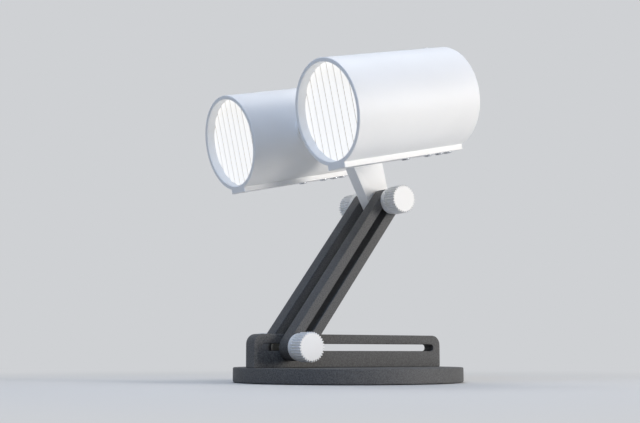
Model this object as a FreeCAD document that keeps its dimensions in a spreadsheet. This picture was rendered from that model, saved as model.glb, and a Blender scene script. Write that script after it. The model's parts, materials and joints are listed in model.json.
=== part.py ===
import FreeCAD, Part
import math
import os
import Sketcher

# Twin-head accordion desk lamp on a round weighted base.
# Millimetres. The origin is the centre of the base's underside, +Z is up, +X runs along the slotted rail and
# +Y along every pivot. The lamp heads shine towards -X. "near" is the -Y side and "far" the +Y side.

SIZES = {
    # weighted base
    "disc_radius": 100,
    "disc_top": 13,
    "disc_chamfer": 0.8,
    "pad_proud": 0.5,
    "pad_thickness": 1.5,
    "pad_margin": 9,
    # slotted rail standing on the disc
    "rail_length": 198,
    "rail_height": 28,
    "rail_thickness": 13,
    "rail_corner": 8.5,
    "slot_width": 6,
    "slot_rise": 17,
    "slot_end_wall": 8,
    "rail_screw_spacing": 120,
    "rail_screw_length": 20,
    "rail_screw_radius": 3,
    "rail_screw_head_radius": 6,
    # slotted arms and the studs that clamp them
    "clamp_from_rail_end": 34.6,
    "arm_lean": 36.7,
    "arm_pitch": 161,
    "arm_width": 22.6,
    "arm_thickness": 14,
    "spacer_thickness": 1.5,
    "spacer_radius": 9,
    "stud_radius": 2.95,
    "stud_grip": 14,
    "edge_break": 0.5,
    # clamp knobs
    "knob_radius": 12.3,
    "knob_length": 19,
    "collar_radius": 11.6,
    "collar_length": 4.5,
    "knob_teeth": 36,
    "tooth_depth": 1.1,
    "tooth_gap": 1.5,
    "knob_bevel": 0.6,
    "insert_radius": 4.6,
    "insert_length": 15,
    "fit_gap": 0.05,
    "loose_gap": 0.3,
    # bracket between the heads
    "bracket_lean": -36.6,
    "bracket_reach": 86.6,
    "bracket_foot_radius": 11.5,
    "bracket_hub_radius": 17,
    "bracket_shoulder_radius": 12,
    "bracket_shoulder_reach": 74,
    "bracket_left_angle": 8.2,
    "bracket_right_angle": 22.8,
    "bracket_flare_radius": 20,
    # tilt axle
    "cross_tube_radius": 12.5,
    "cross_tube_half": 30.5,
    "friction_thickness": 1,
    "axle_radius": 3.95,
    "nut_radius": 7.5,
    "nut_height": 6.5,
    "axle_end": 1,
    "spring_washer_height": 1.6,
    # lamp heads
    "head_dip_angle": 12.65,
    "tube_radius": 43.6,
    "tube_wall": 3.5,
    "tube_length": 126,
    "pivot_from_front": 58,
    "foot_width": 23,
    "foot_depth": 2.9,
    "hub_height": 3.9,
    "boss_seat_radius": 10,
    "boss_seat_depth": 3.6,
    "front_chamfer": 0.5,
    # what sits in each head
    "lens_recess": 8,
    "lens_thickness": 3.5,
    "lens_reed_count": 10,
    "reed_pitch": 8.57,
    "reed_height": 0.9,
    "ledge_depth": 2,
    "ledge_width": 2,
    "reflector_depth": 17,
    "reflector_back_radius": 23,
    "reflector_wall": 1.2,
    "led_board_radius": 30,
    "led_board_thickness": 1.6,
    "led_size": 3.5,
    "led_height": 0.9,
    "led_ring_radius": 15,
    "sink_depth": 15,
    "sink_plate": 4,
    "fin_gap": 4,
    "fin_pitch": 8,
    "cap_thickness": 2,
    "cap_plug_depth": 3,
    "cap_plug_wall": 3,
    "cap_chamfer": 1.2,
    "cap_dish": 0.6,
    "cap_rim": 6,
    "cell_radius": 9.2,
    "cell_end_gap": 1,
    "tray_stand_off": 10.1,
    "tray_thickness": 2,
    "tray_side_gap": 1.7,
    "tray_from_sink": 7.9,
    "tray_from_rear": 3,
    "post_radius": 1.6,
    "post_inset": 4,
    "tray_boss_radius": 3.2,
    "board_level": 8,
    "board_inset": 0.5,
    "board_thickness": 1.6,
    "switch_size": 6,
    "switch_height": 4.3,
    "plunger_rise": 1,
    "button_from_rear": 9.6,
    "button_radius": 1.8,
    "button_proud": 1,
    "button_stem_radius": 1.5,
    "button_flange_radius": 3.4,
    "button_flange_thickness": 1,
    "button_travel": 0.6,
    "socket_width": 9,
    "socket_height": 3.4,
    "socket_depth": 7.4,
    "socket_wall": 0.35,
    "socket_floor": 1,
    "tongue_thickness": 0.7,
    "first_screw_from_rear": 54,
    "second_screw_from_rear": 29.5,
    "third_screw_from_rear": 17,
    "last_screw_from_rear": 7.4,
    "foot_screw_head_radius": 3.9,
    "foot_screw_head_height": 1.4,
    "foot_screw_radius": 1.9,
}

doc = FreeCAD.newDocument("accordion_desk_lamp")
sheet = doc.addObject("Spreadsheet::Sheet", "sizes")
for row, (alias, number) in enumerate(SIZES.items(), start=1):
    sheet.set(f"A{row}", alias)
    sheet.set(f"B{row}", str(number))
    sheet.setAlias(f"B{row}", alias)
doc.recompute()

# Places that several pieces share.
PAD_RADIUS = "(sizes.disc_radius - sizes.pad_margin)"
LOWER_X = "(sizes.clamp_from_rail_end - sizes.rail_length / 2)"
PIVOT_Z = "(sizes.disc_top + sizes.slot_rise)"
UPPER_X = f"({LOWER_X} + sizes.arm_pitch * sin(sizes.arm_lean))"
UPPER_Z = f"({PIVOT_Z} + sizes.arm_pitch * cos(sizes.arm_lean))"
TILT_X = f"({UPPER_X} + sizes.bracket_reach * sin(sizes.bracket_lean))"
TILT_Z = f"({UPPER_Z} + sizes.bracket_reach * cos(sizes.bracket_lean))"
SLOT_RADIUS = "(sizes.slot_width / 2)"
ARM_INNER = "(sizes.rail_thickness / 2 + sizes.spacer_thickness)"
ARM_OUTER = f"({ARM_INNER} + sizes.arm_thickness)"
HUB_FACE = "(sizes.cross_tube_half + sizes.friction_thickness)"
HEAD_Y = f"({HUB_FACE} + sizes.hub_height + sizes.tube_radius)"
FOOT_LEVEL = "(sizes.tube_radius + sizes.foot_depth)"
BORE = "(sizes.tube_radius - sizes.tube_wall)"
SEAT = f"({BORE} - sizes.boss_seat_depth)"
FRONT = "(-sizes.pivot_from_front)"
REAR = "(sizes.tube_length - sizes.pivot_from_front)"
LENS_BACK = f"({FRONT} + sizes.lens_recess + sizes.lens_thickness)"
LED_PLANE = f"({LENS_BACK} + sizes.ledge_depth + sizes.reflector_depth)"
SINK_FRONT = f"({LED_PLANE} + sizes.led_board_thickness)"
TRAY_START = f"({SINK_FRONT} + sizes.sink_depth + sizes.tray_from_sink)"
TRAY_END = f"({REAR} - sizes.tray_from_rear)"
TRAY_FLOOR = f"(sizes.tray_stand_off - {BORE})"
TRAY_UNDERSIDE = f"({TRAY_FLOOR} - sizes.tray_thickness)"
TRAY_HALF = f"(sqrt({BORE} * {BORE} - {TRAY_UNDERSIDE} * {TRAY_UNDERSIDE}) - sizes.tray_side_gap)"
BUTTON_X = f"({REAR} - sizes.button_from_rear)"
SOCKET_LEVEL = "(sizes.board_level - sizes.socket_height / 2 - sizes.fit_gap)"


def value(expression):
    """Number that an expression over the sheet comes to."""
    result = sheet.evalExpression(expression)
    return float(getattr(result, "Value", result))


# ---------------------------------------------------------------- sketches

def new_body(label):
    body = doc.addObject("PartDesign::Body", label)
    body.Label = label
    return body


def new_sketch(body, name, role, offset="0", flipped=False):
    """Sketch on one of the body's own origin planes, moved along the plane's normal by an offset."""
    sketch = body.newObject("Sketcher::SketchObject", f"{body.Name}_{name}")
    plane = next(item for item in body.Origin.OriginFeatures if item.Role == role)
    sketch.AttachmentSupport = (plane, [""])
    sketch.MapMode = "FlatFace"
    if flipped:
        half_turn = FreeCAD.Rotation(FreeCAD.Vector(1, 0, 0), 180)
        sketch.AttachmentOffset = FreeCAD.Placement(FreeCAD.Vector(), half_turn)
    if offset != "0":
        sketch.setExpression("AttachmentOffset.Base.z", offset)
    return sketch


def bind(sketch, constraint, expression):
    index = sketch.addConstraint(constraint)
    sketch.setExpression(f"Constraints[{index}]", expression)


def pin_point(sketch, geometry, position, across, up):
    """Ties one point of a sketch to the origin by its two coordinates."""
    for kind, axis, expression in (("DistanceX", -2, across), ("DistanceY", -1, up)):
        number = value(expression)
        if expression == "0":
            sketch.addConstraint(Sketcher.Constraint("PointOnObject", geometry, position, axis))
        else:
            bind(sketch, Sketcher.Constraint(kind, -1, 1, geometry, position, number), expression)


def add_circle(sketch, across, up, radius):
    centre = FreeCAD.Vector(value(across), value(up), 0)
    circle = sketch.addGeometry(Part.Circle(centre, FreeCAD.Vector(0, 0, 1), value(radius)), False)
    bind(sketch, Sketcher.Constraint("Radius", circle, value(radius)), radius)
    pin_point(sketch, circle, 3, across, up)


def add_polygon(sketch, corners):
    """Closed outline through corners, each given as two expressions."""
    points = [FreeCAD.Vector(value(across), value(up), 0) for across, up in corners]
    lines = []
    for start, end in zip(points, points[1:] + points[:1]):
        lines.append(sketch.addGeometry(Part.LineSegment(start, end), False))
    for line, following in zip(lines, lines[1:] + lines[:1]):
        sketch.addConstraint(Sketcher.Constraint("Coincident", line, 2, following, 1))
    for line, (across, up) in zip(lines, corners):
        pin_point(sketch, line, 1, across, up)


def add_axis(sketch, across):
    """Construction line that a profile turns about, parallel to the sketch's second axis."""
    start = FreeCAD.Vector(value(across), 0, 0)
    end = FreeCAD.Vector(value(across), 10, 0)
    line = sketch.addGeometry(Part.LineSegment(start, end), True)
    sketch.addConstraint(Sketcher.Constraint("Vertical", line))
    pin_point(sketch, line, 1, across, "0")


def add_rectangle(sketch, left, right, bottom, top):
    add_polygon(sketch, [(left, bottom), (right, bottom), (right, top), (left, top)])


def add_obround(sketch, left, right, up, radius):
    """Round-ended slot along the sketch's first axis, between two end centres."""
    height, size = value(up), value(radius)
    ends = []
    for across, start in ((left, math.pi / 2), (right, -math.pi / 2)):
        centre = FreeCAD.Vector(value(across), height, 0)
        circle = Part.Circle(centre, FreeCAD.Vector(0, 0, 1), size)
        arc = sketch.addGeometry(Part.ArcOfCircle(circle, start, start + math.pi), False)
        ends.append(arc)
        pin_point(sketch, arc, 3, across, up)
    bind(sketch, Sketcher.Constraint("Radius", ends[0], size), radius)
    sketch.addConstraint(Sketcher.Constraint("Equal", ends[0], ends[1]))
    sides = []
    for offset in (-size, size):
        start = FreeCAD.Vector(value(left), height + offset, 0)
        end = FreeCAD.Vector(value(right), height + offset, 0)
        sides.append(sketch.addGeometry(Part.LineSegment(start, end), False))
    lower, upper = sides
    sketch.addConstraint(Sketcher.Constraint("Tangent", ends[0], 2, lower, 1))
    sketch.addConstraint(Sketcher.Constraint("Tangent", ends[0], 1, upper, 1))
    sketch.addConstraint(Sketcher.Constraint("Tangent", ends[1], 1, lower, 2))
    sketch.addConstraint(Sketcher.Constraint("Tangent", ends[1], 2, upper, 2))


# ---------------------------------------------------------------- features

def add_pad(body, sketch, name, length, both_ways=False, backwards=False):
    pad = body.newObject("PartDesign::Pad", f"{body.Name}_{name}")
    pad.Profile = sketch
    pad.setExpression("Length", length)
    if both_ways:
        pad.SideType = "Symmetric"
    pad.Reversed = backwards
    sketch.Visibility = False
    return pad


def add_pocket(body, sketch, name, length):
    """Cut that reaches half its length to each side of the sketch, and must take material away."""
    doc.recompute()
    before = body.Shape.Volume
    pocket = body.newObject("PartDesign::Pocket", f"{body.Name}_{name}")
    pocket.Profile = sketch
    pocket.SideType = "Symmetric"
    pocket.setExpression("Length", length)
    doc.recompute()
    if body.Shape.Volume > before - 1e-6:
        raise RuntimeError(f"{pocket.Name} cuts nothing")
    return pocket


def add_revolution(body, sketch, name, axis):
    turn = body.newObject("PartDesign::Revolution", f"{body.Name}_{name}")
    turn.Profile = sketch
    turn.ReferenceAxis = (sketch, [axis])
    turn.Angle = 360
    return turn


def dress_edges(body, kind, name, size, chosen):
    """Fillet or Chamfer on the edges of the body's tip that the test picks."""
    doc.recompute()
    tip = body.Tip
    names = [f"Edge{i}" for i, edge in enumerate(tip.Shape.Edges, start=1) if chosen(edge)]
    if not names:
        raise RuntimeError(f"{body.Name} has no edge for {name}")
    feature = body.newObject(f"PartDesign::{kind}", f"{body.Name}_{name}")
    feature.Base = (tip, names)
    feature.setExpression("Radius" if kind == "Fillet" else "Size", size)
    return feature


def place(item, across="0", along="0", up="0", axis=None, angle="0"):
    """Puts a sub-part at its place in the lamp, bound to the sheet."""
    if axis is not None:
        item.Placement = FreeCAD.Placement(FreeCAD.Vector(), FreeCAD.Rotation(FreeCAD.Vector(*axis), 1))
        item.setExpression("Placement.Rotation.Angle", angle)
    item.setExpression("Placement.Base.x", across)
    item.setExpression("Placement.Base.y", along)
    item.setExpression("Placement.Base.z", up)


def lies_at(number, target):
    return abs(number - target) < 0.01


# ---------------------------------------------------------------- weighted base

def build_base_disc():
    body = new_body("base_disc")
    sketch = new_sketch(body, "profile", "XZ_Plane")
    edge = "(sizes.disc_radius - sizes.disc_chamfer)"
    recess = f"({PAD_RADIUS} + sizes.loose_gap)"
    low = "sizes.pad_proud"
    add_polygon(sketch, [
        ("0", "sizes.pad_thickness"),
        (recess, "sizes.pad_thickness"),
        (recess, low),
        (edge, low),
        ("sizes.disc_radius", f"{low} + sizes.disc_chamfer"),
        ("sizes.disc_radius", "sizes.disc_top - sizes.disc_chamfer"),
        (edge, "sizes.disc_top"),
        ("0", "sizes.disc_top"),
    ])
    add_revolution(body, sketch, "turned", "V_Axis")
    for number, side in enumerate((-1, 1), start=1):
        across = f"({side} * sizes.rail_screw_spacing / 2)"
        hole = new_sketch(body, f"screw_hole_{number}", "XY_Plane", "sizes.disc_top / 2")
        add_circle(hole, across, "0", "sizes.rail_screw_radius + sizes.loose_gap")
        add_pocket(body, hole, f"screw_way_{number}", "2 * sizes.disc_top")
        sink = new_sketch(body, f"sink_{number}", "XY_Plane", "sizes.pad_thickness")
        add_circle(sink, across, "0", "sizes.rail_screw_head_radius + sizes.loose_gap")
        depth = "2 * (sizes.rail_screw_head_radius - sizes.rail_screw_radius)"
        add_pocket(body, sink, f"head_seat_{number}", depth)
    return body


def build_base_pad():
    body = new_body("base_pad")
    sketch = new_sketch(body, "profile", "XY_Plane")
    add_circle(sketch, "0", "0", PAD_RADIUS)
    add_pad(body, sketch, "sheet", "sizes.pad_thickness")
    return body


def build_slotted_rail():
    body = new_body("slotted_rail")
    half = "(sizes.rail_length / 2)"
    top = "(sizes.disc_top + sizes.rail_height)"
    sketch = new_sketch(body, "outline", "XZ_Plane")
    add_rectangle(sketch, f"-{half}", half, "sizes.disc_top", top)
    add_pad(body, sketch, "bar", "sizes.rail_thickness", both_ways=True)
    slot = new_sketch(body, "slot", "XZ_Plane")
    reach = f"({half} - sizes.slot_end_wall - {SLOT_RADIUS})"
    add_obround(slot, f"-{reach}", reach, PIVOT_Z, SLOT_RADIUS)
    add_pocket(body, slot, "slot_cut", "2 * sizes.rail_thickness")
    for number, side in enumerate((-1, 1), start=1):
        hole = new_sketch(body, f"thread_{number}", "XY_Plane", "sizes.disc_top")
        across = f"{side} * sizes.rail_screw_spacing / 2"
        add_circle(hole, across, "0", "sizes.rail_screw_radius + sizes.fit_gap")
        depth = "2 * (sizes.rail_screw_length + sizes.pad_thickness - sizes.disc_top + sizes.loose_gap)"
        add_pocket(body, hole, f"thread_hole_{number}", depth)
    upper = value(top)
    end = value(half)
    dress_edges(body, "Fillet", "top_corners", "sizes.rail_corner", lambda edge: (
        lies_at(edge.CenterOfMass.z, upper) and lies_at(abs(edge.CenterOfMass.x), end)
        and edge.Length > value("sizes.rail_thickness") - 0.01))
    return body


def build_rail_screws():
    """Two countersunk screws that come up through the disc into the rail."""
    body = new_body("rail_screws")
    sketch = new_sketch(body, "profile", "XZ_Plane")
    left = "(-sizes.rail_screw_spacing / 2)"
    shank = f"({left} + sizes.rail_screw_radius)"
    low = "sizes.pad_thickness"
    add_polygon(sketch, [
        (left, low),
        (f"{left} + sizes.rail_screw_head_radius", low),
        (shank, f"{low} + sizes.rail_screw_head_radius - sizes.rail_screw_radius"),
        (shank, f"{low} + sizes.rail_screw_length"),
        (left, f"{low} + sizes.rail_screw_length"),
    ])
    add_axis(sketch, left)
    turn = add_revolution(body, sketch, "screw", "Axis0")
    pattern = body.newObject("PartDesign::LinearPattern", "rail_screws_pair")
    pattern.Originals = [turn]
    pattern.Direction = (sketch, ["H_Axis"])
    pattern.setExpression("Length", "sizes.rail_screw_spacing")
    pattern.Occurrences = 2
    body.Tip = pattern
    return body


# ---------------------------------------------------------------- arms, studs and washers

def build_arm(name, side):
    """Slotted link with full-round ends, its own X axis along the arm from the lower pivot."""
    body = new_body(name)
    outline = new_sketch(body, "outline", "XZ_Plane")
    add_obround(outline, "0", "sizes.arm_pitch", "0", "sizes.arm_width / 2")
    add_pad(body, outline, "bar", "sizes.arm_thickness", both_ways=True)
    slot = new_sketch(body, "slot", "XZ_Plane")
    add_obround(slot, "0", "sizes.arm_pitch", "0", SLOT_RADIUS)
    add_pocket(body, slot, "slot_cut", "2 * sizes.arm_thickness")
    half = value("sizes.arm_thickness / 2")
    reach = value("sizes.arm_width / 2")
    dress_edges(body, "Chamfer", "edge_break", "sizes.edge_break", lambda edge: (
        lies_at(abs(edge.CenterOfMass.y), half)
        and max(abs(vertex.Z) for vertex in edge.Vertexes) > reach - 0.01))
    middle = f"{side} * ({ARM_INNER} + sizes.arm_thickness / 2)"
    place(body, LOWER_X, middle, PIVOT_Z, (0, 1, 0), "sizes.arm_lean - 90")
    return body


def build_stud(name, across, up):
    """Threaded stud through both arms and what they clamp, with bevelled ends."""
    body = new_body(name)
    sketch = new_sketch(body, "section", "XZ_Plane")
    add_circle(sketch, "0", "0", "sizes.stud_radius")
    add_pad(body, sketch, "rod", f"2 * ({ARM_OUTER} + sizes.stud_grip)", both_ways=True)
    dress_edges(body, "Chamfer", "ends", "sizes.edge_break", lambda edge: edge.Length > 1)
    place(body, across, "0", up)
    return body


def build_washers(name, inner_face, thickness, radius, bore, across, up):
    """Pair of flat washers, one on each side of the middle plane."""
    rings = []
    for side in (-1, 1):
        tag = "near" if side < 0 else "far"
        disc = doc.addObject("Part::Cylinder", f"{name}_{tag}_disc")
        disc.setExpression("Radius", radius)
        disc.setExpression("Height", thickness)
        hole = doc.addObject("Part::Cylinder", f"{name}_{tag}_hole")
        hole.setExpression("Radius", bore)
        hole.setExpression("Height", thickness)
        ring = doc.addObject("Part::Cut", f"{name}_{tag}")
        ring.Base = disc
        ring.Tool = hole
        place(ring, "0", f"{side} * {inner_face}", "0", (1, 0, 0), str(-side * 90))
        rings.append(ring)
    pair = doc.addObject("Part::Compound", name)
    pair.Label = name
    pair.Links = rings
    place(pair, across, "0", up)
    return pair


# ---------------------------------------------------------------- clamp knobs

def build_knob(name, side, across, up):
    """Moulded knob: plain collar, fluted grip and flat face, its own Z axis pointing out of the arm."""
    body = new_body(name)
    sketch = new_sketch(body, "profile", "XZ_Plane")
    bore = f"(sizes.insert_radius + sizes.fit_gap)"
    grip = "sizes.knob_radius"
    collar = "sizes.collar_radius"
    deep = "(sizes.insert_length + sizes.loose_gap)"
    add_polygon(sketch, [
        (bore, "0"),
        (f"{collar} - sizes.edge_break", "0"),
        (collar, "sizes.edge_break"),
        (collar, "sizes.collar_length"),
        (grip, f"sizes.collar_length + {grip} - {collar}"),
        (grip, "sizes.knob_length - sizes.knob_bevel"),
        (f"{grip} - sizes.knob_bevel", "sizes.knob_length"),
        ("0", "sizes.knob_length"),
        ("0", deep),
        (bore, deep),
    ])
    add_revolution(body, sketch, "moulding", "V_Axis")
    flute = new_sketch(body, "flute", "XY_Plane", "sizes.knob_length")
    # the groove's sides run on past the rim, so that it cuts its full width there
    past = "2 * sizes.tooth_depth"
    add_polygon(flute, [
        (f"{grip} - sizes.tooth_depth", "0"),
        (f"{grip} - sizes.tooth_depth + {past}", "sizes.tooth_gap"),
        (f"{grip} - sizes.tooth_depth + {past}", "-sizes.tooth_gap"),
    ])
    cut = add_pocket(body, flute, "flute_cut", "2 * (sizes.knob_length - sizes.collar_length)")
    pattern = body.newObject("PartDesign::PolarPattern", f"{body.Name}_flutes")
    pattern.Originals = [cut]
    pattern.Axis = (flute, ["N_Axis"])
    pattern.Angle = 360
    pattern.setExpression("Occurrences", "sizes.knob_teeth")
    body.Tip = pattern
    place(body, across, f"{side} * {ARM_OUTER}", up, (1, 0, 0), str(-side * 90))
    return body


def build_insert(name, side, across, up):
    """Brass insert moulded into a knob, which carries the thread."""
    body = new_body(name)
    sketch = new_sketch(body, "profile", "XY_Plane")
    add_circle(sketch, "0", "0", "sizes.insert_radius")
    add_circle(sketch, "0", "0", "sizes.stud_radius + sizes.fit_gap")
    add_pad(body, sketch, "bush", "sizes.insert_length")
    place(body, across, f"{side} * {ARM_OUTER}", up, (1, 0, 0), str(-side * 90))
    return body


# ---------------------------------------------------------------- bracket and tilt axle

def build_bracket():
    """Flat bracket that rises between the heads.

    Its own X axis runs from the upper stud to the tilt axle. The outline joins a small round foot, a hub
    round the axle and a rounded shoulder behind it, with a hollow flare where the front edge meets the hub.
    """
    body = new_body("bracket")
    sketch = new_sketch(body, "outline", "XZ_Plane", flipped=True)
    foot = value("sizes.bracket_foot_radius")
    hub = value("sizes.bracket_hub_radius")
    shoulder = value("sizes.bracket_shoulder_radius")
    flare = value("sizes.bracket_flare_radius")
    reach = value("sizes.bracket_reach")
    front = math.radians(value("sizes.bracket_left_angle"))
    back = math.radians(value("sizes.bracket_right_angle"))
    shoulder_x = value("sizes.bracket_shoulder_reach")
    shoulder_y = (foot - shoulder + shoulder_x * math.sin(back)) / math.cos(back)
    # the flare's centre stands one flare radius outside the front edge and touches the hub's circle
    slope, level = math.tan(front), -(foot + flare) / math.cos(front)
    a = 1 + slope * slope
    b = 2 * (slope * level - reach)
    c = reach * reach + level * level - (hub + flare) ** 2
    flare_x = (-b - math.sqrt(b * b - 4 * a * c)) / (2 * a)
    flare_y = slope * flare_x + level
    front_normal = FreeCAD.Vector(-math.sin(front), math.cos(front), 0)
    back_normal = FreeCAD.Vector(-math.sin(back), math.cos(back), 0)
    origin = FreeCAD.Vector(0, 0, 0)
    hub_centre = FreeCAD.Vector(reach, 0, 0)
    shoulder_centre = FreeCAD.Vector(shoulder_x, shoulder_y, 0)
    flare_centre = FreeCAD.Vector(flare_x, flare_y, 0)
    towards_hub = (hub_centre - flare_centre).normalize()
    # outer tangent of hub and shoulder
    link = shoulder_centre - hub_centre
    turn = math.atan2(link.y, link.x) - math.acos((hub - shoulder) / link.Length)
    top_normal = FreeCAD.Vector(math.cos(turn), math.sin(turn), 0)
    points = {
        "foot_front": origin - front_normal * foot,
        "flare_start": flare_centre + front_normal * flare,
        "flare_end": flare_centre + towards_hub * flare,
        "hub_top": hub_centre + top_normal * hub,
        "shoulder_top": shoulder_centre + top_normal * shoulder,
        "shoulder_back": shoulder_centre + back_normal * shoulder,
        "foot_back": origin + back_normal * foot,
    }

    def arc(centre, radius, start, end):
        """Arc counter-clockwise from one named point to another."""
        first = points[start] - centre
        last = points[end] - centre
        circle = Part.Circle(centre, FreeCAD.Vector(0, 0, 1), radius)
        begin = math.atan2(first.y, first.x)
        finish = math.atan2(last.y, last.x)
        return sketch.addGeometry(Part.ArcOfCircle(circle, begin, finish), False)

    def line(start, end):
        return sketch.addGeometry(Part.LineSegment(points[start], points[end]), False)

    front_edge = line("foot_front", "flare_start")
    flare_arc = arc(flare_centre, flare, "flare_end", "flare_start")
    hub_arc = arc(hub_centre, hub, "flare_end", "hub_top")
    top_edge = line("hub_top", "shoulder_top")
    shoulder_arc = arc(shoulder_centre, shoulder, "shoulder_top", "shoulder_back")
    back_edge = line("shoulder_back", "foot_back")
    foot_arc = arc(origin, foot, "foot_back", "foot_front")
    for first, first_end, second, second_end in (
            (front_edge, 2, flare_arc, 2), (flare_arc, 1, hub_arc, 1), (hub_arc, 2, top_edge, 1),
            (top_edge, 2, shoulder_arc, 1), (shoulder_arc, 2, back_edge, 1), (back_edge, 2, foot_arc, 1),
            (foot_arc, 2, front_edge, 1)):
        sketch.addConstraint(Sketcher.Constraint("Tangent", first, first_end, second, second_end))
    sketch.addConstraint(Sketcher.Constraint("Coincident", foot_arc, 3, -1, 1))
    pin_point(sketch, hub_arc, 3, "sizes.bracket_reach", "0")
    bind(sketch, Sketcher.Constraint("Radius", foot_arc, foot), "sizes.bracket_foot_radius")
    bind(sketch, Sketcher.Constraint("Radius", hub_arc, hub), "sizes.bracket_hub_radius")
    bind(sketch, Sketcher.Constraint("Radius", shoulder_arc, shoulder), "sizes.bracket_shoulder_radius")
    bind(sketch, Sketcher.Constraint("Radius", flare_arc, flare), "sizes.bracket_flare_radius")
    bind(sketch, Sketcher.Constraint("DistanceX", -1, 1, shoulder_arc, 3, shoulder_x),
         "sizes.bracket_shoulder_reach")
    bind(sketch, Sketcher.Constraint("Angle", -1, 1, front_edge, 1, front), "sizes.bracket_left_angle")
    bind(sketch, Sketcher.Constraint("Angle", -1, 1, back_edge, 2, back), "sizes.bracket_right_angle")
    add_pad(body, sketch, "plate", "sizes.rail_thickness", both_ways=True)
    stud_hole = new_sketch(body, "stud_hole", "XZ_Plane")
    add_circle(stud_hole, "0", "0", SLOT_RADIUS)
    add_pocket(body, stud_hole, "stud_bore", "2 * sizes.rail_thickness")
    tube_hole = new_sketch(body, "tube_hole", "XZ_Plane")
    add_circle(tube_hole, "sizes.bracket_reach", "0", f"sizes.cross_tube_radius + sizes.fit_gap")
    add_pocket(body, tube_hole, "tube_bore", "2 * sizes.rail_thickness")
    half = value("sizes.rail_thickness / 2")
    dress_edges(body, "Chamfer", "edge_break", "sizes.edge_break", lambda edge: (
        lies_at(abs(edge.CenterOfMass.y), half) and len(edge.Vertexes) == 2))
    place(body, UPPER_X, "0", UPPER_Z, (0, 1, 0), "sizes.bracket_lean - 90")
    return body


def build_cross_tube():
    """Tube through the bracket's hub that carries both heads' friction faces."""
    body = new_body("cross_tube")
    sketch = new_sketch(body, "section", "XZ_Plane")
    add_circle(sketch, "0", "0", "sizes.cross_tube_radius")
    add_circle(sketch, "0", "0", "sizes.axle_radius + sizes.loose_gap")
    add_pad(body, sketch, "tube", "2 * sizes.cross_tube_half", both_ways=True)
    place(body, TILT_X, "0", TILT_Z)
    return body


def build_tilt_axle():
    """Threaded rod on the tilt axis, from the nut in one head to the nut in the other."""
    body = new_body("tilt_axle")
    sketch = new_sketch(body, "section", "XZ_Plane")
    add_circle(sketch, "0", "0", "sizes.axle_radius")
    half = f"({HEAD_Y} - {SEAT} + sizes.spring_washer_height + sizes.nut_height + sizes.axle_end)"
    add_pad(body, sketch, "rod", f"2 * {half}", both_ways=True)
    dress_edges(body, "Chamfer", "ends", "sizes.edge_break", lambda edge: edge.Length > 1)
    place(body, TILT_X, "0", TILT_Z)
    return body


def build_axle_nuts():
    """Lock nut on each end of the axle, inside the heads."""
    nuts = []
    for side in (-1, 1):
        tag = "near" if side < 0 else "far"
        hexagon = doc.addObject("Part::Prism", f"axle_nut_{tag}_hexagon")
        hexagon.Polygon = 6
        hexagon.setExpression("Circumradius", "sizes.nut_radius")
        hexagon.setExpression("Height", "sizes.nut_height")
        hole = doc.addObject("Part::Cylinder", f"axle_nut_{tag}_hole")
        hole.setExpression("Radius", f"sizes.axle_radius + sizes.fit_gap")
        hole.setExpression("Height", "sizes.nut_height")
        nut = doc.addObject("Part::Cut", f"axle_nut_{tag}")
        nut.Base = hexagon
        nut.Tool = hole
        inner = f"({HEAD_Y} - {SEAT} + sizes.spring_washer_height)"
        place(nut, "0", f"{side} * {inner}", "0", (1, 0, 0), str(-side * 90))
        nuts.append(nut)
    pair = doc.addObject("Part::Compound", "axle_nuts")
    pair.Label = "axle_nuts"
    pair.Links = nuts
    place(pair, TILT_X, "0", TILT_Z)
    return pair


# ---------------------------------------------------------------- lamp heads
# Each head is drawn about its tilt axis: its own X axis runs from the lens to the rear cap, with Z up.

def place_in_head(item, side):
    place(item, TILT_X, f"{side} * {HEAD_Y}", TILT_Z, (0, 1, 0), "-sizes.head_dip_angle")


def foot_screw_places():
    return [f"({REAR} - sizes.{order}_screw_from_rear)" for order in ("first", "second", "third", "last")]


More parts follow.
